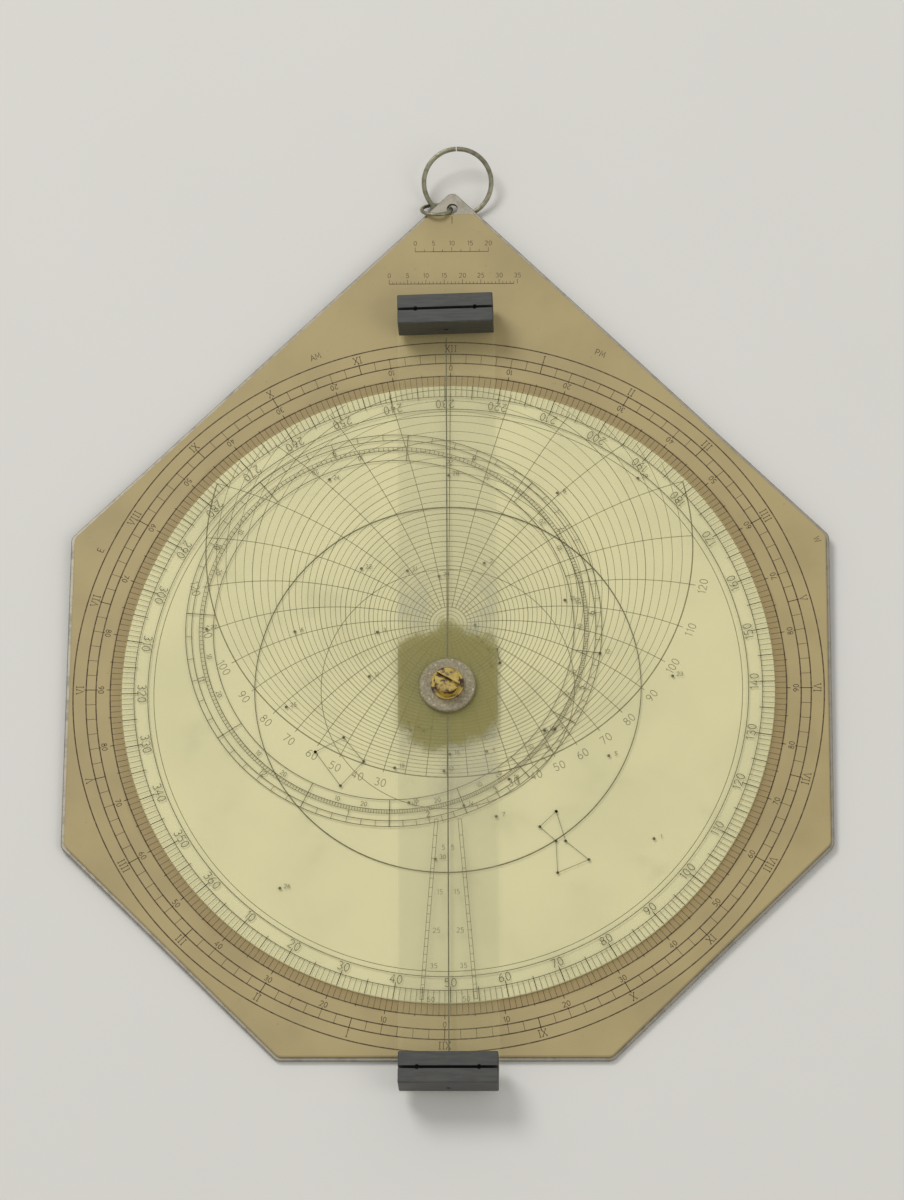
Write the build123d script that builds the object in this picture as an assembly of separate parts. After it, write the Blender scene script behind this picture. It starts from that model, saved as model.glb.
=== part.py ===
from build123d import *
import math
import os

# A flat teaching astrolabe lying face up, in millimetres.
# The origin is on the pivot axis, at the back face of the backing plate.
# +Z points out of the printed face and +Y towards the tip with the hanging hole.

# Backing plate
plate_half_width = 101.6
plate_corner_cut = 58.0
plate_thickness = 1.2
plate_edge_bevel = 0.25
plate_corner_radius = 2.5
tip_radius = 1.9
hanging_hole_diameter = 3.0
hanging_hole_from_tip = 5.4

# Printed sheet on the plate
sheet_margin = 0.9
sheet_thickness = 0.8
sheet_top_below_hole = 1.9
sheet_bevel = 0.3

# Discs on the sheet
star_disc_diameter = 173.8
star_disc_thickness = 0.5
star_disc_bevel = 0.15
latitude_plate_setback = 0.3
latitude_plate_thickness = 0.6

# Rule
rule_width = 26.4
rule_thickness = 1.2
rule_head_overhang = 7.8
rule_foot_overhang = 9.0
rule_bevel = 0.2
rule_rest_angle = 0.7

# Sight blocks
sight_width = 25.8
sight_depth = 8.4
sight_height = 8.7
sight_edge_bevel = 0.25
saw_slot_width = 0.8
saw_slot_depth = 5.2
sighting_bore_diameter = 1.2
sighting_bore_height = 3.2
upper_sight_skew = 1.0
lower_sight_skew = -0.7
pin_diameter = 1.3
pin_spacing = 16.0
pin_depth_below_top = 1.1
pin_grip_in_rule = 0.8

# Pivot
post_diameter = 7.0
post_head_diameter = 9.6
post_head_thickness = 0.6
post_bore_floor = 1.0
screw_diameter = 4.0
screw_head_diameter = 7.0
screw_head_height = 3.0
screw_head_bevel = 0.35
screw_slot_width = 1.1
screw_slot_depth = 1.3
screw_slot_angle = -29.5
screw_end_gap = 0.6
washer_diameter = 14.9
washer_thickness = 1.2
washer_bevel = 0.3
collar_diameter = 8.8
collar_thickness = 1.2
collar_bevel = 0.2

# Hanging link and ring
link_wire_diameter = 1.0
link_mean_radius = 4.1
link_lean = 43.0
link_centre_height = 0.6
link_slack_in_hole = 0.2
link_joint_gap = 0.12
ring_wire_diameter = 1.3
ring_mean_radius = 9.25
ring_joint_gap = 0.25
ring_centre_x = 1.4
ring_centre_above_hole = 7.8
ring_centre_height = 1.25
ring_lift_angle = 20.3
wire_sides = 16

# Clearances
running_clearance = 0.05
seat_clearance = 0.02
shank_clearance = 0.06

# Places that follow from the sizes above
straight_side_half = plate_half_width - plate_corner_cut
tip_y = plate_half_width + straight_side_half
hanging_hole_y = tip_y - hanging_hole_from_tip
sheet_top_y = hanging_hole_y - sheet_top_below_hole
sheet_top = plate_thickness + sheet_thickness
latitude_top = sheet_top + latitude_plate_thickness
star_disc_bottom = latitude_top + running_clearance
star_disc_top = star_disc_bottom + star_disc_thickness
rule_bottom = star_disc_top + running_clearance
rule_top = rule_bottom + rule_thickness
post_top = rule_top + running_clearance
washer_top = post_top + washer_thickness
collar_top = washer_top + collar_thickness
screw_top = collar_top + screw_head_height
star_disc_radius = star_disc_diameter / 2
latitude_plate_radius = star_disc_radius - latitude_plate_setback
post_hole_diameter = post_diameter + 2 * running_clearance
shank_hole_diameter = screw_diameter + 2 * shank_clearance
rule_reach_up = plate_half_width + rule_head_overhang
rule_reach_down = plate_half_width + rule_foot_overhang
upper_sight_y = rule_reach_up - sight_depth / 2
lower_sight_y = -rule_reach_down + sight_depth / 2
link_side_x = -link_mean_radius - link_slack_in_hole


def disc(radius, bottom, top):
    """A plain disc on the pivot axis between two heights."""
    return Pos(0, 0, bottom) * Cylinder(radius, top - bottom, align=(Align.CENTER, Align.CENTER, Align.MIN))


def rims(solid, height):
    """The edges of a solid that lie at one height."""
    return [edge for edge in solid.edges() if abs(edge.center().Z - height) < 1e-6
            and edge.bounding_box().size.Z < 1e-6]


def outer_rim(solid, height):
    """The outermost round edge of a turned piece at one height."""
    return max(rims(solid, height), key=lambda edge: edge.length)


def plate_outline(margin):
    """The seven-cornered outline, drawn in from the plate's edge by a margin."""
    half = plate_half_width - margin
    reach = tip_y - math.sqrt(2) * margin
    side = reach - half
    corners = [(0, reach), (half, side), (half, -side), (side, -half),
               (-side, -half), (-half, -side), (-half, side)]
    face = make_face(Polyline(*corners, close=True))
    wide_corners = [corner for corner in face.vertices() if corner.Y < reach - 1]
    face = fillet(wide_corners, plate_corner_radius)
    tip_corner = max(face.vertices(), key=lambda corner: corner.Y)
    return fillet(tip_corner, tip_radius - margin)


def make_base_plate():
    plate = extrude(plate_outline(0), plate_thickness)
    plate = chamfer(rims(plate, 0) + rims(plate, plate_thickness), plate_edge_bevel)
    plate -= Pos(0, hanging_hole_y, 0) * Cylinder(hanging_hole_diameter / 2, 4 * plate_thickness)
    plate -= disc(post_diameter / 2 + seat_clearance, 0, plate_thickness)
    return plate - disc(post_head_diameter / 2 + seat_clearance, 0, post_head_thickness + seat_clearance)


def make_limb_sheet():
    sheet = extrude(Pos(0, 0, plate_thickness) * plate_outline(sheet_margin), sheet_thickness)
    above_cut = Pos(0, sheet_top_y, plate_thickness) * Box(
        4 * plate_half_width, plate_half_width, 4 * sheet_thickness,
        align=(Align.CENTER, Align.MIN, Align.CENTER))
    sheet -= above_cut
    sheet = chamfer(rims(sheet, sheet_top), sheet_bevel)
    return sheet - disc(post_hole_diameter / 2, plate_thickness, sheet_top)


def make_latitude_plate():
    plate = disc(latitude_plate_radius, sheet_top, latitude_top)
    plate = chamfer(outer_rim(plate, latitude_top), star_disc_bevel)
    return plate - disc(post_hole_diameter / 2, sheet_top, latitude_top)


def make_star_disc():
    plate = disc(star_disc_radius, star_disc_bottom, star_disc_top)
    plate = chamfer(outer_rim(plate, star_disc_top), star_disc_bevel)
    return plate - disc(post_hole_diameter / 2, star_disc_bottom, star_disc_top)


def pin_places():
    """Where the two pins of a sight block stand, left and right of its middle."""
    return [-pin_spacing / 2, pin_spacing / 2]


def on_rule(y, skew):
    """The place of a sight block's foot on the rule, before the rule is turned."""
    return Pos(0, y, rule_top) * Rot(0, 0, skew)


def make_pins(y, skew):
    """Two pins sunk in a block's slot line and gripped in the rule."""
    length = sight_height - pin_depth_below_top + pin_grip_in_rule
    pins = []
    for x in pin_places():
        pin = Pos(x, 0, -pin_grip_in_rule) * Cylinder(
            pin_diameter / 2, length, align=(Align.CENTER, Align.CENTER, Align.MIN))
        pins.append(on_rule(y, skew) * pin)
    return pins


def pin_bores(y, skew, bottom, top):
    """The holes that the pins stand in, between two heights over the rule's top."""
    bores = []
    for x in pin_places():
        bore = Pos(x, 0, bottom) * Cylinder(
            pin_diameter / 2 + seat_clearance, top - bottom, align=(Align.CENTER, Align.CENTER, Align.MIN))
        bores.append(on_rule(y, skew) * bore)
    return bores


def make_rule():
    length = rule_reach_up + rule_reach_down
    middle = (rule_reach_up - rule_reach_down) / 2
    rule = Pos(0, middle, rule_bottom) * Box(
        rule_width, length, rule_thickness, align=(Align.CENTER, Align.CENTER, Align.MIN))
    rule = chamfer(rims(rule, rule_top), rule_bevel)
    rule -= disc(post_hole_diameter / 2, rule_bottom, rule_top)
    grip = -pin_grip_in_rule - seat_clearance
    rule -= pin_bores(upper_sight_y, upper_sight_skew, grip, 0)
    return rule - pin_bores(lower_sight_y, lower_sight_skew, grip, 0)


def make_sight(y, skew):
    """A block with a saw slot across its top, two pin bores and a fine sighting bore along the rule."""
    block = Box(sight_width, sight_depth, sight_height, align=(Align.CENTER, Align.CENTER, Align.MIN))
    block = chamfer(block.edges(), sight_edge_bevel)
    slot_floor = sight_height - saw_slot_depth
    block -= Pos(0, 0, slot_floor) * Box(
        2 * sight_width, saw_slot_width, sight_height, align=(Align.CENTER, Align.CENTER, Align.MIN))
    block -= Pos(0, 0, sighting_bore_height) * Rot(90, 0, 0) * Cylinder(
        sighting_bore_diameter / 2, 2 * sight_depth)
    return on_rule(y, skew) * block - pin_bores(y, skew, 0, sight_height)


def make_pivot_post():
    """A shouldered post, riveted flush in the plate's back and bored blind for the screw."""
    post = disc(post_diameter / 2, 0, post_top) + disc(post_head_diameter / 2, 0, post_head_thickness)
    return post - disc(shank_hole_diameter / 2, post_bore_floor, post_top)


def make_ring_washer(diameter, bottom, top, bevel):
    """A flat washer on the screw's shank, its upper rim bevelled."""
    washer = disc(diameter / 2, bottom, top)
    washer = chamfer(outer_rim(washer, top), bevel)
    return washer - disc(shank_hole_diameter / 2, bottom, top)


def make_pivot_screw():
    """A slotted cheese-head screw. The shank is the thread's mean cylinder."""
    head = disc(screw_head_diameter / 2, collar_top, screw_top)
    head = chamfer(outer_rim(head, screw_top), screw_head_bevel)
    head -= Pos(0, 0, screw_top - screw_slot_depth) * Rot(0, 0, screw_slot_angle) * Box(
        2 * screw_head_diameter, screw_slot_width, screw_head_height,
        align=(Align.CENTER, Align.CENTER, Align.MIN))
    shank = disc(screw_diameter / 2, post_bore_floor + screw_end_gap, collar_top)
    shank = chamfer(outer_rim(shank, post_bore_floor + screw_end_gap), shank_clearance * 5)
    return head + shank


def wire_ring(mean_radius, wire_diameter, joint_gap, joint_angle):
    """A ring of wire in the XY plane, open by a fine butt joint at one angle."""
    open_angle = math.degrees(joint_gap / mean_radius)
    wire = Pos(mean_radius, 0, 0) * Rot(90, 0, 0) * RegularPolygon(wire_diameter / 2, wire_sides)
    ring = revolve(wire, Axis.Z, 360 - open_angle)
    return Rot(0, 0, joint_angle + open_angle / 2) * ring


def make_suspension_link():
    """The link leaves the hole, runs over the sheet and comes back round the plate's left edge."""
    loop = wire_ring(link_mean_radius, link_wire_diameter, link_joint_gap, -150)
    return Pos(link_side_x, hanging_hole_y, link_centre_height) * Rot(90 + link_lean, 0, 0) * loop


def make_suspension_ring():
    loop = wire_ring(ring_mean_radius, ring_wire_diameter, ring_joint_gap, 92)
    place = Pos(ring_centre_x, hanging_hole_y + ring_centre_above_hole, ring_centre_height)
    return place * Rot(ring_lift_angle, 0, 0) * loop


def turned_with_rule(shapes):
    """Shapes drawn on the straight rule, turned with it to its resting angle."""
    turn = Rot(0, 0, rule_rest_angle)
    if isinstance(shapes, list):
        return Compound(children=[turn * shape for shape in shapes])
    return turn * shapes


def build():
    """Every node's shape by name."""
    return {
        "base_plate": make_base_plate(),
        "limb_sheet": make_limb_sheet(),
        "latitude_plate": make_latitude_plate(),
        "pivot_post": make_pivot_post(),
        "star_disc": make_star_disc(),
        "rule": turned_with_rule(make_rule()),
        "upper_sight": turned_with_rule(make_sight(upper_sight_y, upper_sight_skew)),
        "lower_sight": turned_with_rule(make_sight(lower_sight_y, lower_sight_skew)),
        "upper_sight_pins": turned_with_rule(make_pins(upper_sight_y, upper_sight_skew)),
        "lower_sight_pins": turned_with_rule(make_pins(lower_sight_y, lower_sight_skew)),
        "pivot_washer": make_ring_washer(washer_diameter, post_top, washer_top, washer_bevel),
        "pivot_collar": make_ring_washer(collar_diameter, washer_top, collar_top, collar_bevel),
        "pivot_screw": make_pivot_screw(),
        "suspension_link": make_suspension_link(),
        "suspension_ring": make_suspension_ring(),
    }


os.makedirs("parts", exist_ok=True)
for node, shape in build().items():
    export_step(shape, f"parts/{node}.step")
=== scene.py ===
import math

import bpy
import numpy as np
from mathutils import Matrix, Vector


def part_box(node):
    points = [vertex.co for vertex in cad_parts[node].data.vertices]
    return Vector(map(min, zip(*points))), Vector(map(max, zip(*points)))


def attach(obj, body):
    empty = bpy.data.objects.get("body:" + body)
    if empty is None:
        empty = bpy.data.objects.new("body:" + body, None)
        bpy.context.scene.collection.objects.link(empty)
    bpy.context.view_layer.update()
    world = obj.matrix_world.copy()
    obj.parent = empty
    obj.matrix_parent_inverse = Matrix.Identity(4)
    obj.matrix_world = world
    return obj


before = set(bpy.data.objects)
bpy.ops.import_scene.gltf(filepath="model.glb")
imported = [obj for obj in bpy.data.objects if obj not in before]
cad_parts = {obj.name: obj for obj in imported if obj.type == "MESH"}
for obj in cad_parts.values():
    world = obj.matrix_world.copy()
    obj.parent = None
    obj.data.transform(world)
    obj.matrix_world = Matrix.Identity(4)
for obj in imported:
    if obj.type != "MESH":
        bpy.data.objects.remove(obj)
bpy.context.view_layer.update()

bl_info = {
    "name": "Flat teaching astrolabe",
    "version": (1, 0, 0),
    "blender": (4, 5, 0),
    "location": "3D View > Sidebar > Astrolabe",
    "description": "Prints the scales, sky grid and star map of a flat astrolabe and gives its pieces their finishes",
    "category": "Object",
}

MM = 0.001
PLATE, STAR_DISC, RULE, LINK, RING = "plate", "star_disc", "rule", "link", "ring"

# Heights of the printed faces and sizes of the pieces, read from the frame
SHEET_LOW, SHEET_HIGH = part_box("limb_sheet")
GRID_LOW, GRID_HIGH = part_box("latitude_plate")
STAR_LOW, STAR_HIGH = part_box("star_disc")
RULE_LOW, RULE_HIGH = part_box("rule")
WASHER_LOW, WASHER_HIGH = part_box("pivot_washer")
UPPER_LOW, UPPER_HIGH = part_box("upper_sight")
LOWER_LOW, LOWER_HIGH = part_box("lower_sight")
INK_LIFT = 0.012


def from_metres(value):
    """A length of the frame, in metres, as millimetres."""
    return value / MM


def linear(hex_colour):
    """An sRGB hex colour as linear RGBA: each channel is raised by the sRGB curve."""
    channels = [int(hex_colour[i:i + 2], 16) / 255 for i in (0, 2, 4)]
    straight = [c / 12.92 if c <= 0.04045 else ((c + 0.055) / 1.055) ** 2.4 for c in channels]
    return (*straight, 1.0)


def size_prop(name, description, default):
    """A length in millimetres that a user may change."""
    return bpy.props.FloatProperty(name=name, description=description, default=default, min=0.0)


def colour_prop(name, description, hex_colour):
    """A colour that a user may change, kept as linear RGBA."""
    return bpy.props.FloatVectorProperty(
        name=name, description=description, default=linear(hex_colour), size=4, subtype="COLOR", min=0.0, max=1.0)


class AstrolabeScales(bpy.types.PropertyGroup):
    """Radii, in millimetres, of the printed rings, and the facts that the sky grid is drawn from."""

    hour_outer: size_prop("Hour band outer", "Radius of the outermost printed circle", 99.6)
    hour_inner: size_prop("Hour band inner", "Radius between the hours and the ten-minute boxes", 96.15)
    minute_inner: size_prop("Minute band inner", "Radius between the ten-minute boxes and the degrees", 93.5)
    degree_inner: size_prop("Degree band inner", "Radius between the degree numbers and the degree ticks", 89.7)
    star_tick_inner: size_prop("Star disc tick ring", "Radius inside the star disc's degree ticks", 83.3)
    star_number_inner: size_prop("Star disc number ring", "Radius inside the star disc's degree numbers", 79.6)
    equator: size_prop("Equator", "Radius of the celestial equator on the projection", 51.2)
    latitude: bpy.props.FloatProperty(
        name="Latitude", description="Latitude that the horizon grid is drawn for", default=math.radians(51.8),
        subtype="ANGLE")
    obliquity: bpy.props.FloatProperty(
        name="Obliquity", description="Tilt of the ecliptic to the equator", default=math.radians(23.45),
        subtype="ANGLE")
    star_zero: bpy.props.FloatProperty(
        name="Star disc zero", description="Direction of the star disc's zero, counter-clockwise from +X",
        default=math.radians(221.0), subtype="ANGLE")
    rule_angle: bpy.props.FloatProperty(
        name="Rule's angle", description="Angle at which the rule rests, counter-clockwise from +Y",
        default=math.radians(0.7), subtype="ANGLE")


class AstrolabeInks(bpy.types.PropertyGroup):
    """Colours and line widths of the printing."""

    limb_ink: colour_prop("Limb ink", "Dark brown ink on the tan sheet", "4A3822")
    grid_ink: colour_prop("Grid ink", "Grey-olive ink on the pale sheet", "77714A")
    star_ink: colour_prop("Star disc ink", "Grey ink filled into the engraved disc", "5E5A40")
    rule_ink: colour_prop("Rule ink", "Grey ink filled into the rule's lines", "6B694E")
    bold_width: size_prop("Bold line", "Width of the bold circles", 0.34)
    fine_width: size_prop("Fine line", "Width of ticks and numbers", 0.19)
    hair_width: size_prop("Hair line", "Width of the grid's lines", 0.13)


class AstrolabeFinishes(bpy.types.PropertyGroup):
    """Colours of the pieces."""

    sheet: colour_prop("Printed sheet", "Tan ivorine", "B4A271")
    # Colour of the specks and of the band round the disc's edge; that band is partly a stain and partly painted shade
    # of the disc
    sheet_stain: colour_prop("Sheet stain", "Brown stain round the disc's edge", "9A8555")
    pale_sheet: colour_prop("Pale sheet", "Ivory yellow ivorine", "E6DFB0")
    celluloid: colour_prop("Celluloid", "Clear celluloid, yellowed", "ECE5B0")
    rule_celluloid: colour_prop("Rule's celluloid", "Thicker clear celluloid, yellowed", "EEE7B0")
    rule_stain: colour_prop("Rule stain", "Olive deposit between the rule and the disc", "A39B5C")
    metal: colour_prop("Plate metal", "Rolled aluminium", "A8A294")
    ebonite: colour_prop("Ebonite", "Sawn hard rubber", "454541")
    pin: colour_prop("Pins", "Darkened steel", "2A2624")
    washer: colour_prop("Washer", "Oxidised grey washer", "AEA386")
    brass: colour_prop("Brass", "Turned brass", "D9C070")
    tarnish: colour_prop("Tarnish", "Purple-brown tarnish on the brass", "5A4848")
    wire: colour_prop("Ring wire", "Drawn brass wire, its plating worn grey", "A09E88")


class AstrolabeStage(bpy.types.PropertyGroup):
    """The floor, the lamps and the camera."""

    floor: colour_prop("Floor", "Plain pale floor", "E4E2DC")
    camera_x: size_prop("Camera right", "Camera's place to the right of the pivot, in millimetres", 49.5)
    camera_y: size_prop("Camera towards the foot", "Camera's place below the foot, in millimetres", 466.3)
    camera_z: size_prop("Camera height", "Camera's height over the plate's back, in millimetres", 1332.5)
    aim_x: size_prop("Aim right", "Where the camera looks, right of the pivot", 0.9)
    aim_y: size_prop("Aim up", "Where the camera looks, towards the tip", 25.1)
    roll: bpy.props.FloatProperty(
        name="Roll", description="Camera's turn about its own axis", default=math.radians(-0.5), subtype="ANGLE")
    focal_share: bpy.props.FloatProperty(
        name="Focal share", description="Focal length as a share of the picture's long side", default=4.435)


class Ink:
    """Collects flat ribbons of ink at one height and makes one mesh of them."""

    def __init__(self, height):
        self.height = height
        self.points = []
        self.faces = []
        self.count = 0

    def ribbon(self, line, width):
        """A line's points, each moved half the width to either side along the mean of its two
        segments' normals, joined crosswise by one face for each segment."""
        line = np.asarray(line, float)
        step = np.diff(line, axis=0)
        length = np.hypot(step[:, 0], step[:, 1])
        keep = np.concatenate([[True], length > 1e-6])
        line = line[keep]
        if len(line) < 2:
            return
        step = np.diff(line, axis=0)
        normal = np.stack([-step[:, 1], step[:, 0]], 1) / np.hypot(step[:, 0], step[:, 1])[:, None]
        before = np.concatenate([normal[:1], normal])
        after = np.concatenate([normal, normal[-1:]])
        if np.allclose(line[0], line[-1]):
            before[0] = normal[-1]
            after[-1] = normal[0]
        mean = before + after
        mean /= np.maximum(np.hypot(mean[:, 0], mean[:, 1]), 1e-6)[:, None]
        lean = np.clip((mean * after).sum(1), 0.5, 1.0)
        side = mean * (width / 2 / lean)[:, None]
        n = len(line)
        first = self.count + np.arange(n - 1)
        self.points.append(np.concatenate([line + side, line - side]))
        self.faces.append(np.stack([first, first + n, first + n + 1, first + 1], 1))
        self.count += 2 * n

    def circle(self, centre, radius, width, steps=360):
        """A closed ring: the point at angle t is the centre plus the radius times (cos t, sin t)."""
        self.ribbon(arc_points(centre, radius, 0, 360, steps), width)

    def spokes(self, angles, inner, outer, width):
        """Short radial ticks: each is a rectangle from the inner to the outer radius,
        at angles in degrees clockwise from the top."""
        turn = np.radians(np.asarray(angles, float))
        along = np.stack([np.sin(turn), np.cos(turn)], 1)
        across = np.stack([along[:, 1], -along[:, 0]], 1) * width / 2
        corners = np.stack([along * inner - across, along * inner + across,
                            along * outer + across, along * outer - across], 1)
        first = self.count + 4 * np.arange(len(turn))
        self.points.append(corners.reshape(-1, 2))
        self.faces.append(first[:, None] + np.array([3, 2, 1, 0]))
        self.count += 4 * len(turn)

    def text(self, words, height, place, up, width):
        """Stroked letters, centred on a place, their tops towards the direction up, in degrees
        counter-clockwise from +X."""
        turn = math.radians(up - 90)
        right = np.array([math.cos(turn), math.sin(turn)])
        top = np.array([-math.sin(turn), math.cos(turn)])
        advance = [GLYPH_WIDTH.get(letter, 0.62) + 0.2 for letter in words]
        start = -(sum(advance) - 0.2) / 2
        for letter, step in zip(words, advance):
            for stroke in GLYPHS[letter]:
                local = (np.asarray(stroke) + [start, -0.5]) * height
                self.ribbon(np.asarray(place) + local[:, :1] * right + local[:, 1:] * top, width)
            start += step

    def dots(self, places, radius, sides=10):
        """Small filled discs, each a fan of one many-sided face."""
        turn = np.linspace(0, 2 * np.pi, sides, endpoint=False)
        rim = radius * np.stack([np.cos(turn), np.sin(turn)], 1)
        for place in places:
            self.points.append(np.asarray(place) + rim)
            self.faces.append((self.count + np.arange(sides))[None, :])
            self.count += sides

    def make(self, name, body, material):
        """The finished piece: all ribbons in one mesh, turned into metres, facing up."""
        flat = np.concatenate(self.points)
        points = np.column_stack([flat, np.full(len(flat), self.height)]) * MM
        faces = [face for block in self.faces for face in block.tolist()]
        mesh = bpy.data.meshes.new(name)
        mesh.from_pydata(points.tolist(), [], faces)
        mesh.update()
        normals = np.empty(3 * len(mesh.polygons), np.float32)
        mesh.polygons.foreach_get("normal", normals)
        if normals[2::3].mean() < 0:
            mesh.flip_normals()
        piece = bpy.data.objects.new(name, mesh)
        bpy.context.scene.collection.objects.link(piece)
        mesh.materials.append(material)
        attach(piece, body)
        return piece


def arc_points(centre, radius, start, end, steps):
    """Points of an arc or ellipse arc: centre plus radius times (cos t, sin t), t in degrees."""
    turn = np.radians(np.linspace(start, end, steps + 1))
    radius = np.broadcast_to(radius, 2)
    return np.asarray(centre) + radius * np.stack([np.cos(turn), np.sin(turn)], 1)


def clock_point(angle, radius):
    """The point at a radius and an angle in degrees clockwise from the top."""
    turn = math.radians(angle)
    return np.array([radius * math.sin(turn), radius * math.cos(turn)])


def runs_inside(line, inside):
    """The unbroken stretches of a line whose points are all inside."""
    marks = np.flatnonzero(np.diff(np.concatenate([[0], inside.astype(int), [0]])))
    return [line[a:b] for a, b in zip(marks[::2], marks[1::2]) if b - a > 1]


def glyph_shapes():
    """Single-stroke letters in a box one unit high: straight strokes and parts of ellipses."""
    left, mid, right = 0.03, 0.3, 0.57
    six = [arc_points((mid, 0.29), (0.26, 0.29), 0, 360, 12), [(0.05, 0.36), (0.2, 0.8), (0.45, 1.0)]]
    shapes = {
        "0": [arc_points((mid, 0.5), (0.27, 0.5), 0, 360, 14)],
        "1": [[(0.1, 0.8), (0.28, 1.0), (0.28, 0.0)]],
        "2": [np.vstack([arc_points((mid, 0.72), (0.26, 0.28), 165, -35, 8), [(left, 0.0)], [(right, 0.0)]])],
        "3": [arc_points((mid, 0.76), (0.23, 0.24), 150, -90, 8), arc_points((mid, 0.27), (0.27, 0.27), 90, -150, 9)],
        "4": [[(0.42, 0.0), (0.42, 1.0), (left, 0.3), (right, 0.3)]],
        "5": [np.vstack([[(0.52, 1.0)], [(0.12, 1.0)], [(0.09, 0.56)],
                         arc_points((0.28, 0.32), (0.27, 0.32), 120, -145, 9)])],
        "6": six,
        "7": [[(left, 1.0), (right, 1.0), (0.2, 0.0)]],
        "8": [arc_points((mid, 0.76), (0.22, 0.24), 0, 360, 10), arc_points((mid, 0.27), (0.27, 0.27), 0, 360, 12)],
        "9": [np.array([2 * mid, 1.0]) - np.asarray(stroke) for stroke in six],
        "I": [[(0.15, 0.0), (0.15, 1.0)], [(0.0, 0.0), (0.3, 0.0)], [(0.0, 1.0), (0.3, 1.0)]],
        "V": [[(0.0, 1.0), (0.33, 0.0), (0.66, 1.0)], [(-0.08, 1.0), (0.16, 1.0)], [(0.5, 1.0), (0.74, 1.0)]],
        "X": [[(0.0, 0.0), (0.62, 1.0)], [(0.0, 1.0), (0.62, 0.0)], [(-0.08, 1.0), (0.14, 1.0)],
              [(0.48, 1.0), (0.7, 1.0)], [(-0.08, 0.0), (0.14, 0.0)], [(0.48, 0.0), (0.7, 0.0)]],
        "A": [[(0.0, 0.0), (0.33, 1.0), (0.66, 0.0)], [(0.13, 0.36), (0.53, 0.36)]],
        "P": [np.vstack([[(0.06, 0.0)], [(0.06, 1.0)], arc_points((0.3, 0.74), (0.28, 0.26), 90, -90, 8),
                         [(0.06, 0.48)]])],
        "M": [[(0.0, 0.0), (0.08, 1.0), (0.38, 0.3), (0.68, 1.0), (0.76, 0.0)]],
        "E": [[(0.55, 1.0), (0.05, 1.0), (0.05, 0.0), (0.58, 0.0)], [(0.05, 0.52), (0.45, 0.52)]],
        "W": [[(0.0, 1.0), (0.2, 0.0), (0.42, 0.8), (0.64, 0.0), (0.84, 1.0)]],
    }
    return {letter: [np.asarray(stroke, float) for stroke in strokes] for letter, strokes in shapes.items()}


GLYPHS = glyph_shapes()
GLYPH_WIDTH = {"I": 0.3, "1": 0.36, "V": 0.66, "X": 0.62, "A": 0.66, "M": 0.76, "W": 0.84}
ROMAN_HOURS = ["XII", "I", "II", "III", "IIII", "V", "VI", "VII", "VIII", "IX", "X", "XI"]


def add(tree, kind, inputs=None, **settings):
    """Adds a node, sets its settings, and links or fills its inputs."""
    node = tree.nodes.new(kind)
    for name, value in settings.items():
        setattr(node, name, value)
    for name, value in (inputs or {}).items():
        if isinstance(value, bpy.types.NodeSocket):
            tree.links.new(value, node.inputs[name])
        else:
            node.inputs[name].default_value = value
    return node


def start_material(name, **shader):
    """A material with its shader's plain values set, and Object coordinates in millimetres."""
    material = bpy.data.materials.new(name)
    material.use_nodes = True
    tree = material.node_tree
    surface = tree.nodes["Principled BSDF"]
    for socket, value in shader.items():
        surface.inputs[socket.replace("_", " ")].default_value = value
    place = add(tree, "ShaderNodeTexCoord").outputs["Object"]
    millimetres = add(tree, "ShaderNodeVectorMath", {0: place, "Scale": 1 / MM}, operation="SCALE")
    return material, tree, surface, millimetres.outputs[0]


def noise(tree, place, size, detail=3.0, roughness=0.5):
    """Noise whose blotches are about this many millimetres across."""
    return add(tree, "ShaderNodeTexNoise", {
        "Vector": place, "Scale": 1 / size, "Detail": detail, "Roughness": roughness}).outputs["Fac"]


def between(tree, value, low, high, to_low=0.0, to_high=1.0):
    """A value mapped smoothly from one range to another and held at its ends."""
    return add(tree, "ShaderNodeMapRange", {
        "Value": value, "From Min": low, "From Max": high, "To Min": to_low, "To Max": to_high},
        interpolation_type="SMOOTHSTEP").outputs["Result"]


def mixed(tree, share, first, second):
    """Two colours mixed by a share."""
    node = add(tree, "ShaderNodeMix", data_type="RGBA")
    for socket, value in ((0, share), (6, first), (7, second)):
        if isinstance(value, bpy.types.NodeSocket):
            tree.links.new(value, node.inputs[socket])
        else:
            node.inputs[socket].default_value = value
    return node.outputs[2]


def product(tree, first, second):
    """Two values multiplied."""
    return add(tree, "ShaderNodeMath", {0: first, 1: second}, operation="MULTIPLY").outputs[0]


def distance_from_pivot(tree, place):
    """Distance from the pivot axis, in millimetres."""
    flat = add(tree, "ShaderNodeVectorMath", {0: place, 1: (1.0, 1.0, 0.0)}, operation="MULTIPLY").outputs[0]
    return add(tree, "ShaderNodeVectorMath", {0: flat}, operation="LENGTH").outputs["Value"]


def bump(tree, surface, height, depth, strength=1.0):
    """Raises the surface by a height pattern, depth in millimetres."""
    node = add(tree, "ShaderNodeBump", {"Height": height, "Distance": depth * MM, "Strength": strength})
    tree.links.new(node.outputs["Normal"], surface.inputs["Normal"])


def darker(colour, share):
    """A colour with its light cut to a share."""
    return (*[channel * share for channel in colour[:3]], 1.0)


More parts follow.
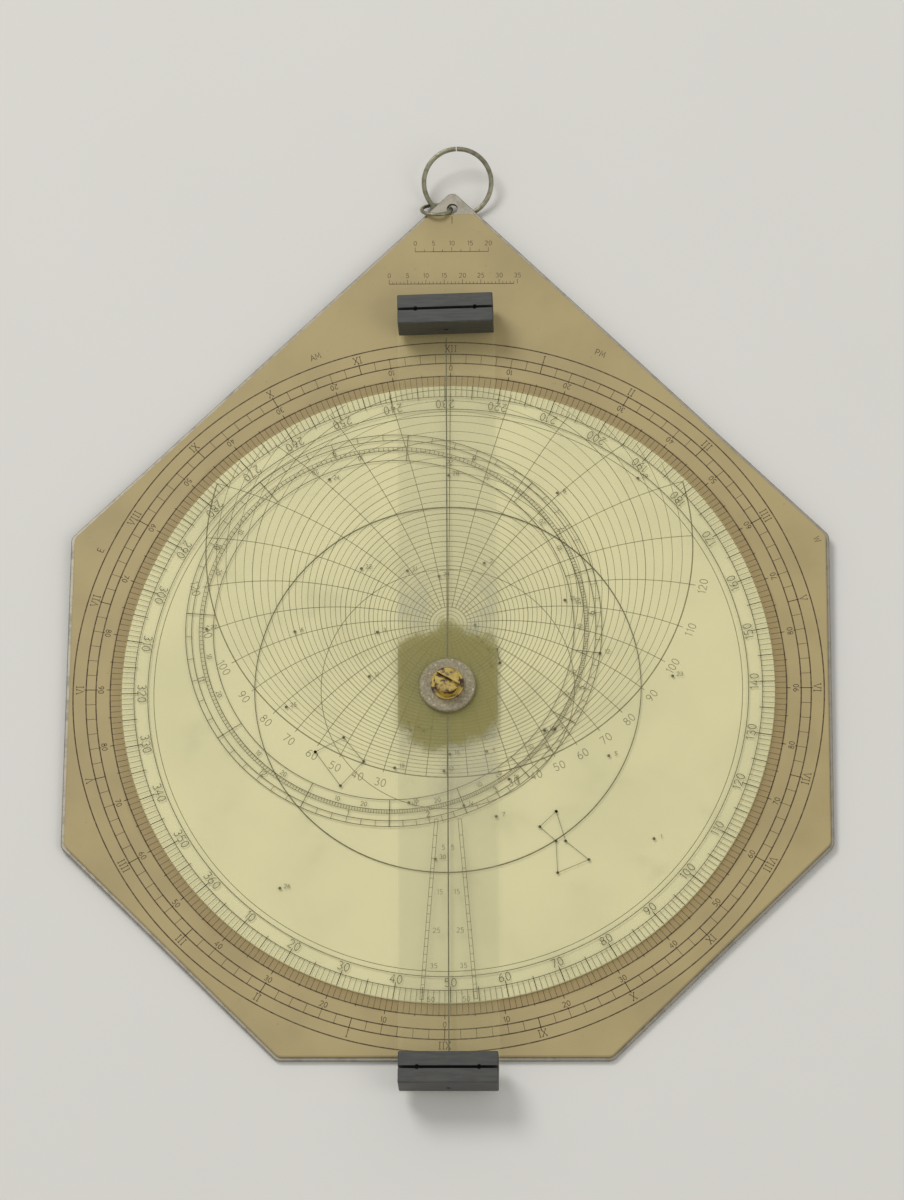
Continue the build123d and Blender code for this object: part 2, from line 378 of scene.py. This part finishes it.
def ivorine_limb(colours):
    """Ivorine, a filled celluloid, calendered and printed: matt, warm tan, with faint clouds, fine specks
    and a darker brown band round the disc's edge, partly a stain and partly painted shade of the disc."""
    material, tree, surface, place = start_material("tan_ivorine_printed", Roughness=0.52, IOR=1.5)
    clouds = between(tree, noise(tree, place, 22, 4), 0.35, 0.7)
    base = mixed(tree, clouds, tuple(colours.sheet), darker(colours.sheet, 0.86))
    specks = between(tree, noise(tree, place, 1.1, 2), 0.70, 0.78, 0.0, 0.35)
    base = mixed(tree, specks, base, darker(colours.sheet_stain, 0.7))
    radius = distance_from_pivot(tree, place)
    # Painted shade: the sheet darkens in a band round the disc's edge, partly a stain and partly the disc's shade
    # painted into the colour
    wander = add(tree, "ShaderNodeMath", {0: noise(tree, place, 9, 2), 1: 2.0, 2: radius}, operation="MULTIPLY_ADD")
    stain = between(tree, wander.outputs[0], 90.0, 91.6, 0.75, 0.0)
    base = mixed(tree, stain, base, tuple(colours.sheet_stain))
    tree.links.new(base, surface.inputs["Base Color"])
    bump(tree, surface, noise(tree, place, 1.6, 3), 0.02, 0.35)
    return material


def ivorine_pale(colours):
    """Pale ivorine under the star disc: matt and creamy, a little cloudy."""
    material, tree, surface, place = start_material("pale_ivorine_printed", Roughness=0.5, IOR=1.5)
    clouds = between(tree, noise(tree, place, 30, 3), 0.35, 0.7)
    base = mixed(tree, clouds, tuple(colours.pale_sheet), darker(colours.pale_sheet, 0.92))
    tree.links.new(base, surface.inputs["Base Color"])
    bump(tree, surface, noise(tree, place, 2.0, 2), 0.01, 0.3)
    return material


def celluloid_disc(colours):
    """Cast celluloid sheet, clear but yellowed: it veils the print under it a little and has olive blotches."""
    material, tree, surface, place = start_material(
        "clear_celluloid_disc", Roughness=0.24, IOR=1.5, Alpha=0.06)
    blotch = between(tree, noise(tree, place, 14, 4, 0.6), 0.55, 0.72, 0.0, 0.7)
    base = mixed(tree, blotch, tuple(colours.celluloid), tuple(colours.rule_stain))
    tree.links.new(base, surface.inputs["Base Color"])
    bump(tree, surface, noise(tree, place, 18, 2), 0.06, 0.4)
    return material


def celluloid_rule(colours):
    """Thicker clear celluloid, yellowed, with an olive deposit trapped round the pivot and milky clouds near it."""
    material, tree, surface, place = start_material("clear_celluloid_rule", Roughness=0.22, IOR=1.5)
    radius = distance_from_pivot(tree, place)
    ragged = add(tree, "ShaderNodeMath", {0: noise(tree, place, 7, 5, 0.65), 1: 16.0, 2: radius},
                 operation="MULTIPLY_ADD").outputs[0]
    stain = between(tree, ragged, 24.0, 26.5, 1.0, 0.0)
    milk = product(tree, between(tree, radius, 22, 46, 1.0, 0.0), between(tree, noise(tree, place, 9, 3), 0.42, 0.62))
    base = mixed(tree, milk, tuple(colours.rule_celluloid), linear("CFCFB4"))
    base = mixed(tree, stain, base, tuple(colours.rule_stain))
    tree.links.new(base, surface.inputs["Base Color"])
    veil = add(tree, "ShaderNodeMath", {0: stain, 1: 0.38, 2: 0.045}, operation="MULTIPLY_ADD").outputs[0]
    veil = add(tree, "ShaderNodeMath", {0: milk, 1: 0.10, 2: veil}, operation="MULTIPLY_ADD").outputs[0]
    tree.links.new(veil, surface.inputs["Alpha"])
    bump(tree, surface, noise(tree, place, 12, 3), 0.05, 0.5)
    return material


def rolled_aluminium(colours):
    """Aluminium sheet, rolled and rubbed dull: soft reflections, drawn a little along the rolling, fine scuffs."""
    material, tree, surface, place = start_material("rolled_aluminium", Metallic=1.0)
    drawn = add(tree, "ShaderNodeMapping", {"Vector": place, "Scale": (0.08, 1.6, 1.0)}).outputs[0]
    grain = noise(tree, drawn, 0.6, 4)
    scuffs = noise(tree, place, 2.4, 5, 0.65)
    base = mixed(tree, between(tree, scuffs, 0.4, 0.7), tuple(colours.metal), darker(colours.metal, 0.78))
    tree.links.new(base, surface.inputs["Base Color"])
    tree.links.new(between(tree, scuffs, 0.3, 0.7, 0.36, 0.56), surface.inputs["Roughness"])
    bump(tree, surface, grain, 0.01, 0.5)
    return material


def sawn_ebonite(colours):
    """Ebonite, a hard rubber, sawn and rubbed down: near black, with fine saw streaks and faint brown blotches."""
    material, tree, surface, place = start_material("sawn_ebonite", Roughness=0.55, IOR=1.6)
    streaks = add(tree, "ShaderNodeMapping", {"Vector": place, "Scale": (0.12, 1.0, 1.0)}).outputs[0]
    fine = noise(tree, streaks, 0.7, 4, 0.6)
    base = mixed(tree, between(tree, fine, 0.35, 0.7), tuple(colours.ebonite), darker(colours.ebonite, 0.62))
    brown = between(tree, noise(tree, place, 5, 3), 0.55, 0.75, 0.0, 0.35)
    base = mixed(tree, brown, base, linear("3A2C20"))
    tree.links.new(base, surface.inputs["Base Color"])
    bump(tree, surface, fine, 0.03, 0.6)
    return material


def dark_steel(colours):
    """Turned steel pins, blued and dulled with age."""
    material, tree, surface, place = start_material("darkened_steel", Metallic=1.0)
    worn = noise(tree, place, 0.5, 3)
    base = mixed(tree, between(tree, worn, 0.4, 0.7), tuple(colours.pin), darker(colours.pin, 0.5))
    tree.links.new(base, surface.inputs["Base Color"])
    tree.links.new(between(tree, worn, 0.3, 0.7, 0.35, 0.6), surface.inputs["Roughness"])
    return material


def oxidised_washer(colours):
    """A stamped light-alloy washer gone dull and speckled with white and dark oxide."""
    material, tree, surface, place = start_material("oxidised_alloy_washer", Metallic=0.35)
    fine = noise(tree, place, 0.55, 4, 0.7)
    base = mixed(tree, between(tree, fine, 0.42, 0.6), darker(colours.washer, 0.55), tuple(colours.washer))
    white = between(tree, noise(tree, place, 0.9, 3, 0.7), 0.6, 0.68)
    base = mixed(tree, white, base, linear("D6D4C4"))
    tree.links.new(base, surface.inputs["Base Color"])
    tree.links.new(between(tree, fine, 0.35, 0.65, 0.45, 0.8), surface.inputs["Roughness"])
    bump(tree, surface, fine, 0.06, 0.8)
    return material


def turned_brass(colours):
    """Brass turned on a lathe: warm polished metal with fine rings, browned by purple tarnish in blotches."""
    material, tree, surface, place = start_material("turned_brass_tarnished", Metallic=1.0)
    blotch = between(tree, noise(tree, place, 2.6, 4, 0.6), 0.46, 0.6)
    base = mixed(tree, blotch, tuple(colours.brass), tuple(colours.tarnish))
    tree.links.new(base, surface.inputs["Base Color"])
    tree.links.new(between(tree, blotch, 0.0, 1.0, 0.26, 0.5), surface.inputs["Roughness"])
    radius = distance_from_pivot(tree, place)
    rings = add(tree, "ShaderNodeMath", {0: product(tree, radius, 26.0)}, operation="SINE").outputs[0]
    bump(tree, surface, rings, 0.004, 0.5)
    return material


def drawn_wire(colours):
    """Drawn brass wire whose thin plating has worn grey: dull with a warm tone showing through."""
    material, tree, surface, place = start_material("drawn_wire_worn_plating", Metallic=1.0)
    worn = noise(tree, place, 1.4, 4, 0.6)
    base = mixed(tree, between(tree, worn, 0.4, 0.65), tuple(colours.wire), linear("86806A"))
    tree.links.new(base, surface.inputs["Base Color"])
    tree.links.new(between(tree, worn, 0.3, 0.7, 0.3, 0.5), surface.inputs["Roughness"])
    bump(tree, surface, noise(tree, place, 0.3, 2), 0.01, 0.4)
    return material


def ink_material(name, colour, thinnest=0.75):
    """Printing ink soaked into the sheet: matt, a little uneven in depth along its lines."""
    material, tree, surface, place = start_material(name, Roughness=0.7, IOR=1.45)
    uneven = between(tree, noise(tree, place, 1.2, 3), 0.35, 0.7, 0.0, 1.0 - thinnest)
    base = mixed(tree, uneven, tuple(colour), linear("A79A6C"))
    tree.links.new(base, surface.inputs["Base Color"])
    return material


def set_finish(material, *nodes):
    """Gives CAD nodes a material."""
    for name in nodes:
        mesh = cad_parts[name].data
        mesh.materials.clear()
        mesh.materials.append(material)


class ASTROLABE_OT_finishes(bpy.types.Operator):
    """Gives every solid piece its material"""

    bl_idname = "astrolabe.finishes"
    bl_label = "Finish the pieces"

    def execute(self, context):
        colours = context.scene.astrolabe_finishes
        set_finish(rolled_aluminium(colours), "base_plate")
        set_finish(ivorine_limb(colours), "limb_sheet")
        set_finish(ivorine_pale(colours), "latitude_plate")
        set_finish(celluloid_disc(colours), "star_disc")
        set_finish(celluloid_rule(colours), "rule")
        set_finish(sawn_ebonite(colours), "upper_sight", "lower_sight")
        set_finish(dark_steel(colours), "upper_sight_pins", "lower_sight_pins")
        set_finish(oxidised_washer(colours), "pivot_washer")
        set_finish(turned_brass(colours), "pivot_collar", "pivot_screw", "pivot_post")
        set_finish(drawn_wire(colours), "suspension_link", "suspension_ring")
        return {"FINISHED"}


class ASTROLABE_OT_limb_scales(bpy.types.Operator):
    """Prints the hour, minute and degree scales on the tan sheet"""

    bl_idname = "astrolabe.limb_scales"
    bl_label = "Print the limb scales"

    def execute(self, context):
        scales = context.scene.astrolabe_scales
        inks = context.scene.astrolabe_inks
        ink = Ink(from_metres(SHEET_HIGH.z) + INK_LIFT)
        for radius in (scales.hour_outer, scales.hour_inner, scales.minute_inner, scales.degree_inner):
            ink.circle((0, 0), radius, inks.bold_width)
        self.hours(ink, scales, inks)
        self.degrees(ink, scales, inks)
        self.margin_marks(ink, scales, inks)
        material = ink_material("printing_ink_brown", inks.limb_ink)
        ink.make("limb_scales", PLATE, material)
        return {"FINISHED"}

    def hours(self, ink, scales, inks):
        """Roman hours every 15 degrees, a tick at each hour and a box for each ten minutes."""
        middle = (scales.hour_outer + scales.hour_inner) / 2
        for hour in range(24):
            angle = 15 * hour
            words = ROMAN_HOURS[hour % 12]
            ink.text(words, 1.9, clock_point(angle, middle - 0.1), 90 - angle, inks.fine_width)
        hour_angles = 15.0 * np.arange(24)
        ink.spokes(hour_angles, scales.minute_inner, scales.hour_inner + 0.5, inks.fine_width)
        ink.spokes(2.5 * np.arange(144), scales.minute_inner, scales.hour_inner, inks.hair_width)

    def degrees(self, ink, scales, inks):
        """Ticks each degree against the disc, and plain numbers from 0 at top and foot to 90 at the sides."""
        disc_edge = from_metres(STAR_HIGH.x)
        ones = np.arange(360)
        ink.spokes(ones, disc_edge - 1.0, scales.degree_inner, inks.hair_width)
        ink.spokes(ones[::5], scales.degree_inner, scales.degree_inner + 0.55, inks.fine_width)
        ink.spokes(ones[::10], scales.degree_inner, scales.degree_inner + 1.0, inks.fine_width)
        ink.spokes(ones[::10], scales.minute_inner - 0.5, scales.minute_inner, inks.fine_width)
        radius = scales.minute_inner - 1.35
        for angle in range(0, 360, 10):
            number = abs((angle + 90) % 180 - 90)
            ink.text(str(number), 1.4, clock_point(angle, radius), -90 - angle, inks.fine_width)

    def margin_marks(self, ink, scales, inks):
        """The index line under the hole, the day's halves, east and west, and two plain ruled scales
        where the tip is wide enough."""
        top = from_metres(SHEET_HIGH.y)
        ink.ribbon([(0, top - 0.7), (0, top - 3.0)], inks.fine_width)
        for words, place, up in (("AM", (-36.8, 95.6), 112), ("PM", (40.5, 96.2), 67),
                                 ("E", (-93.5, 39.8), 157), ("W", (98.4, 42.0), 23)):
            ink.text(words, 1.7, place, up, inks.fine_width)
        self.ruled_scale(ink, inks, 126.6, 20.0, 5.0, 2)
        self.ruled_scale(ink, inks, 117.0, 34.0, 5.0, 5)

    def ruled_scale(self, ink, inks, y, span, step, parts):
        """A straight line with even ticks and a plain number at every step."""
        ink.ribbon([(-span / 2, y), (span / 2, y)], inks.fine_width)
        count = int(round(span / step))
        for mark in range(count * parts + 1):
            x = -span / 2 + mark * step / parts
            whole = mark % parts == 0
            ink.ribbon([(x, y), (x, y + (1.3 if whole else 0.7))], inks.hair_width)
            if whole:
                ink.text(str(mark // parts * 5), 1.3, (x, y + 2.5), 90, inks.hair_width)


def sky_point(scales, altitude, azimuth):
    """Where a point of the sky falls on the plate: altitude and azimuth, in degrees from the north,
    are turned to declination and hour angle by the rules of the astronomical triangle, and the
    declination gives the radius, equator radius times cos d / (1 + sin d)."""
    latitude = scales.latitude
    a, z = np.radians(altitude), np.radians(azimuth)
    sine = np.sin(a) * np.sin(latitude) + np.cos(a) * np.cos(latitude) * np.cos(z)
    cosine = np.sqrt(np.maximum(1 - sine ** 2, 1e-9))
    east = np.cos(a) * np.sin(z) / cosine
    south = (np.sin(a) - np.sin(latitude) * sine) / (np.cos(latitude) * cosine)
    radius = scales.equator * cosine / (1 + sine)
    return np.stack([radius * east, radius * south], -1)


class ASTROLABE_OT_horizon_grid(bpy.types.Operator):
    """Draws the circles of equal height and the arcs of equal bearing on the pale sheet"""

    bl_idname = "astrolabe.horizon_grid"
    bl_label = "Draw the horizon grid"

    def execute(self, context):
        scales = context.scene.astrolabe_scales
        inks = context.scene.astrolabe_inks
        ink = Ink(from_metres(GRID_HIGH.z) + INK_LIFT)
        edge = from_metres(GRID_HIGH.x) - 0.6
        self.heights(ink, scales, inks, edge)
        self.bearings(ink, scales, inks, edge)
        tropic = math.tan(math.pi / 4 + scales.obliquity / 2)
        for radius in (scales.equator, scales.equator / tropic, scales.equator * tropic):
            ink.circle((0, 0), radius, inks.fine_width)
        material = ink_material("printing_ink_olive", inks.grid_ink)
        ink.make("horizon_grid", PLATE, material)
        return {"FINISHED"}

    def heights(self, ink, scales, inks, edge):
        """A circle of equal height every two degrees, heavier each ten, cut off at the sheet's edge."""
        turn = np.linspace(0, 360, 721)
        for altitude in range(0, 90, 2):
            line = sky_point(scales, np.full_like(turn, altitude), turn)
            width = inks.fine_width if altitude % 10 == 0 else inks.hair_width
            if altitude == 0:
                width = inks.bold_width
            step = 4 if altitude > 40 else 2
            for run in runs_inside(line, np.hypot(line[:, 0], line[:, 1]) < edge):
                ink.ribbon(np.vstack([run[:-1:step], run[-1:]]), width)

    def bearings(self, ink, scales, inks, edge):
        """An arc of equal bearing every ten degrees, with its number outside the horizon."""
        for azimuth in range(0, 360, 10):
            rise = np.linspace(0, 90 if azimuth % 90 == 0 else 80, 60)
            line = sky_point(scales, rise, np.full_like(rise, azimuth))
            for run in runs_inside(line, np.hypot(line[:, 0], line[:, 1]) < edge):
                ink.ribbon(run, inks.fine_width)
            foot, below = sky_point(scales, np.array([0.0, -2.0]), np.full(2, azimuth))
            number = min(azimuth, 360 - azimuth)
            if 20 < number < 130:
                ink.ribbon([foot, foot + (below - foot) * 0.6], inks.fine_width)
                outward = (below - foot) / np.hypot(*(below - foot))
                up = math.degrees(math.atan2(-outward[1], -outward[0]))
                ink.text(str(number), 2.1, foot + outward * 3.6, up, inks.fine_width)


# Bright stars as right ascension in hours and declination in degrees
STARS = {
    "plough": [(13.79, 49.3), (13.40, 54.9), (12.90, 56.0), (12.26, 57.0), (11.90, 53.7), (11.03, 56.4),
               (11.06, 61.8), (12.26, 57.0)],
    "throne": [(1.91, 63.7), (1.43, 60.2), (0.95, 60.7), (0.68, 56.5), (0.15, 59.1)],
    "hunter": [(5.92, 7.4), (5.42, 6.3), (5.53, -0.3), (5.24, -8.2), (5.80, -9.7), (5.68, -1.9), (5.92, 7.4)],
    "square": [(23.08, 15.2), (23.06, 28.1), (0.14, 29.1), (0.22, 15.2), (23.08, 15.2)],
    "lone": [(6.75, -16.7), (14.26, 19.2), (18.62, 38.8), (5.28, 46.0), (7.65, 5.2), (19.85, 8.9), (4.60, 16.5),
             (13.42, -11.2), (7.76, 28.0), (7.58, 31.9), (20.69, 45.3), (10.14, 12.0), (11.82, 14.6), (3.79, 24.1),
             (2.12, 23.5), (3.41, 49.9), (3.14, 41.0), (5.44, 28.6), (1.16, 35.6), (14.85, 74.2), (15.58, 26.7),
             (17.58, 12.6), (9.46, -8.7), (17.17, -15.7), (21.74, 9.9), (0.73, -18.0), (20.3, -14.8), (15.28, -9.4),
             (12.57, -23.4), (3.04, 4.1), (16.5, 21.5), (21.3, 62.6)],
}


def star_point(scales, hours, declination):
    """Where a star falls on the disc: the equator's radius times tan((90 - declination) / 2), turned
    counter-clockwise by its right ascension from the disc's zero."""
    turn = scales.star_zero + math.radians(15 * hours)
    radius = scales.equator * math.tan(math.radians(90 - declination) / 2)
    return np.array([radius * math.cos(turn), radius * math.sin(turn)])


class ASTROLABE_OT_star_map(bpy.types.Operator):
    """Draws the degree scale, the ecliptic and the stars on the turning disc"""

    bl_idname = "astrolabe.star_map"
    bl_label = "Draw the star map"

    def execute(self, context):
        scales = context.scene.astrolabe_scales
        inks = context.scene.astrolabe_inks
        ink = Ink(from_metres(STAR_HIGH.z) + INK_LIFT)
        self.degree_ring(ink, scales, inks)
        self.ecliptic(ink, scales, inks)
        self.stars(ink, scales, inks)
        ink.circle((0, 0), scales.equator, inks.fine_width)
        material = ink_material("engraving_fill_grey", inks.star_ink)
        ink.make("star_map", STAR_DISC, material)
        return {"FINISHED"}

    def degree_ring(self, ink, scales, inks):
        """Degree ticks from the edge inwards and numbers every ten, counter-clockwise."""
        edge = from_metres(STAR_HIGH.x) - 0.25
        zero = 90 - math.degrees(scales.star_zero)
        ink.circle((0, 0), scales.star_tick_inner, inks.fine_width)
        ink.circle((0, 0), scales.star_number_inner, inks.fine_width)
        ones = zero - np.arange(360)
        ink.spokes(ones, scales.star_tick_inner, edge, inks.hair_width)
        ink.spokes(ones[::5], scales.star_tick_inner - 0.7, edge, inks.fine_width)
        ink.spokes(ones[::10], scales.star_tick_inner - 1.2, edge, inks.fine_width)
        middle = (scales.star_tick_inner + scales.star_number_inner) / 2 - 0.3
        for degree in range(10, 370, 10):
            angle = zero - degree
            ink.text(str(degree), 2.2, clock_point(angle, middle), -90 - angle, inks.fine_width)

    def ecliptic(self, ink, scales, inks):
        """The ecliptic ring. Its radius is the equator's over cos e, its centre lies the equator's radius
        times tan e from the pivot, towards right ascension 18 hours. A longitude's point is found from
        its right ascension and declination, and drawn towards the ring's centre for a tick."""
        tilt = scales.obliquity
        outward = scales.star_zero + math.radians(270)
        centre = scales.equator * math.tan(tilt) * np.array([math.cos(outward), math.sin(outward)])
        radius = scales.equator / math.cos(tilt)
        rings = (radius - 0.4, radius - 2.0, radius - 5.0, radius - 7.8)
        for ring in rings:
            ink.circle(centre, ring, inks.fine_width)
        ink.circle(centre, radius - 4.0, inks.hair_width)
        for longitude in range(0, 360):
            fine = math.radians(longitude)
            ascension = math.atan2(math.sin(fine) * math.cos(tilt), math.cos(fine))
            declination = math.asin(math.sin(fine) * math.sin(tilt))
            point = star_point(scales, math.degrees(ascension) / 15, math.degrees(declination))
            inward = (centre - point) / np.hypot(*(centre - point))
            ink.ribbon([point + inward * 4.0, point + inward * 5.0], inks.hair_width)
            if longitude % 5 == 0:
                ink.ribbon([point + inward * 0.4, point + inward * 2.0], inks.hair_width)
            up = math.degrees(math.atan2(inward[1], inward[0]))
            if longitude % 30 == 0:
                ink.ribbon([point + inward * 0.4, point + inward * 7.8], inks.fine_width)
            elif longitude % 10 == 0:
                ink.text(str(longitude % 30), 1.2, point + inward * 6.2, up, inks.hair_width)
            if longitude % 30 == 15:
                ink.text(str(longitude // 30 + 1), 1.5, point + inward * 3.0, up, inks.fine_width)

    def stars(self, ink, scales, inks):
        """Star dots with small plain numbers, and lines that join the well-known figures."""
        number = 1
        for figure, places in STARS.items():
            points = [star_point(scales, hours, declination) for hours, declination in places]
            if figure != "lone":
                ink.ribbon(points, inks.hair_width)
            ink.dots(points, 0.42)
            if figure == "lone":
                for point in points:
                    ink.text(str(number), 1.1, point + [1.9, 0.6], 90, inks.hair_width)
                    number += 1


class ASTROLABE_OT_rule_marks(bpy.types.Operator):
    """Draws the centre line and the two spreading scales on the clear rule"""

    bl_idname = "astrolabe.rule_marks"
    bl_label = "Draw the rule's marks"

    def execute(self, context):
        scales = context.scene.astrolabe_scales
        inks = context.scene.astrolabe_inks
        ink = Ink(from_metres(RULE_HIGH.z) + INK_LIFT)
        turn = scales.rule_angle
        along = np.array([-math.sin(turn), math.cos(turn)])
        across = np.array([math.cos(turn), math.sin(turn)])
        washer = from_metres(WASHER_HIGH.x)
        top = from_metres(UPPER_LOW.y) - 0.6
        foot = from_metres(LOWER_HIGH.y) + 0.6
        ink.ribbon([along * (washer - 0.5), along * top], inks.bold_width)
        ink.ribbon([along * (0.5 - washer), along * foot], inks.bold_width)
        for side in (-1, 1):
            self.spreading_scale(ink, inks, along, across, side)
        material = ink_material("engraving_fill_rule", inks.rule_ink)
        ink.make("rule_marks", RULE, material)
        return {"FINISHED"}

    def spreading_scale(self, ink, inks, along, across, side):
        """Two near-parallel lines that lean away from the centre line, ticked between like a ladder,
        with a plain number at every tenth rung. The rungs close up as a square root does."""
        near, far, start, end, gap = 2.6, 6.6, -37.0, -86.0, 0.9
        share = np.linspace(0, 1, 41) ** 0.8

        def rail(offset):
            reach = near + (far - near) * share + offset
            return side * reach[:, None] * across + (start + (end - start) * share)[:, None] * along

        inner, outer = rail(0.0), rail(gap)
        ink.ribbon(inner, inks.hair_width)
        ink.ribbon(outer, inks.hair_width)
        for rung in range(0, 41, 2):
            ink.ribbon([inner[rung], outer[rung]], inks.hair_width)
        up = math.degrees(math.atan2(along[1], along[0]))
        for rung in range(4, 41, 9):
            ink.text(str(rung // 4 * 5), 1.3, inner[rung] - side * 2.0 * across, up, inks.hair_width)


class ASTROLABE_OT_stage(bpy.types.Operator):
    """Lays the pale floor under the plate and sets the lamps and the camera"""

    bl_idname = "astrolabe.stage"
    bl_label = "Set the stage"

    def execute(self, context):
        stage = context.scene.astrolabe_stage
        self.floor(context, stage)
        self.lamps(context)
        self.camera(context, stage)
        context.scene.view_settings.view_transform = "Standard"
        return {"FINISHED"}

    def floor(self, context, stage):
        """A plane through the plate's foot edge and the hanging link's lowest point, on which the
        instrument lies."""
        link_low, link_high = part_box("suspension_link")
        plate_low, plate_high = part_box("base_plate")
        slope = (link_low.z - plate_low.z) / (link_high.y - plate_low.y)
        reach = 3.0
        rows = np.linspace(-reach, reach, 9)
        x, y = np.meshgrid(rows, rows)
        z = plate_low.z + slope * (y - plate_low.y) - 0.0001
        points = np.stack([x, y, z], -1).reshape(-1, 3)
        corner = (np.arange(8)[:, None] * 9 + np.arange(8)).ravel()
        faces = np.stack([corner, corner + 1, corner + 10, corner + 9], 1)
        mesh = bpy.data.meshes.new("floor")
        mesh.from_pydata(points.tolist(), [], faces.tolist())
        floor = bpy.data.objects.new("floor", mesh)
        context.scene.collection.objects.link(floor)
        material, tree, surface, place = start_material("painted_board", Roughness=0.9)
        tone = mixed(tree, noise(tree, place, 60, 3), tuple(stage.floor), darker(stage.floor, 0.97))
        tree.links.new(tone, surface.inputs["Base Color"])
        mesh.materials.append(material)

    def lamps(self, context):
        """A large soft lamp from the upper left, a weaker one from the right, and a pale world."""
        for name, place, size, power in (("key_lamp", (-0.9, 1.1, 1.6), 0.9, 17.0), ("fill_lamp", (1.3, -0.6, 1.4), 1.2, 5.0)):
            lamp = bpy.data.lights.new(name, "AREA")
            lamp.shape = "DISK"
            lamp.size = size
            lamp.energy = power
            holder = bpy.data.objects.new(name, lamp)
            holder.location = place
            holder.rotation_mode = "QUATERNION"
            holder.rotation_quaternion = Vector(place).to_track_quat("Z", "Y")
            context.scene.collection.objects.link(holder)
        world = bpy.data.worlds.new("pale_room")
        world.use_nodes = True
        background = world.node_tree.nodes["Background"]
        background.inputs["Color"].default_value = linear("E8E8E6")
        background.inputs["Strength"].default_value = 0.62
        context.scene.world = world

    def camera(self, context, stage):
        """The photograph's view: the camera's own up axis is the plate's +Y seen square to the line of
        sight, then rolled. The focal length is a share of the picture's long side."""
        place = Vector((stage.camera_x, -stage.camera_y, stage.camera_z)) * MM
        aim = Vector((stage.aim_x * MM, stage.aim_y * MM, SHEET_HIGH.z))
        look = (aim - place).normalized()
        up = Vector((0, 1, 0)) - look * look.y
        up = Matrix.Rotation(stage.roll, 3, look) @ up.normalized()
        right = look.cross(up)
        lens = bpy.data.cameras.new("camera")
        lens.sensor_width = 36.0
        lens.lens = stage.focal_share * lens.sensor_width
        lens.clip_start = 0.01
        camera = bpy.data.objects.new("camera", lens)
        camera.matrix_world = Matrix.Translation(place) @ Matrix((right, up, -look)).transposed().to_4x4()
        context.scene.collection.objects.link(camera)
        context.scene.camera = camera


class ASTROLABE_PT_panel(bpy.types.Panel):
    """Lists the steps that dress the astrolabe"""

    bl_label = "Astrolabe"
    bl_idname = "ASTROLABE_PT_panel"
    bl_space_type = "VIEW_3D"
    bl_region_type = "UI"
    bl_category = "Astrolabe"

    def draw(self, context):
        for operator in OPERATORS:
            self.layout.operator(operator.bl_idname)


GROUPS = {"astrolabe_scales": AstrolabeScales, "astrolabe_inks": AstrolabeInks,
          "astrolabe_finishes": AstrolabeFinishes, "astrolabe_stage": AstrolabeStage}
OPERATORS = (ASTROLABE_OT_finishes, ASTROLABE_OT_limb_scales, ASTROLABE_OT_horizon_grid,
             ASTROLABE_OT_star_map, ASTROLABE_OT_rule_marks, ASTROLABE_OT_stage)


def register():
    for name, group in GROUPS.items():
        bpy.utils.register_class(group)
        setattr(bpy.types.Scene, name, bpy.props.PointerProperty(type=group))
    for piece in (*OPERATORS, ASTROLABE_PT_panel):
        bpy.utils.register_class(piece)


def unregister():
    for piece in (ASTROLABE_PT_panel, *reversed(OPERATORS)):
        bpy.utils.unregister_class(piece)
    for name, group in reversed(GROUPS.items()):
        delattr(bpy.types.Scene, name)
        bpy.utils.unregister_class(group)


def main():
    register()
    bpy.ops.astrolabe.finishes()
    bpy.ops.astrolabe.limb_scales()
    bpy.ops.astrolabe.horizon_grid()
    bpy.ops.astrolabe.star_map()
    bpy.ops.astrolabe.rule_marks()
    bpy.ops.astrolabe.stage()


if __name__ == "__main__":
    main()
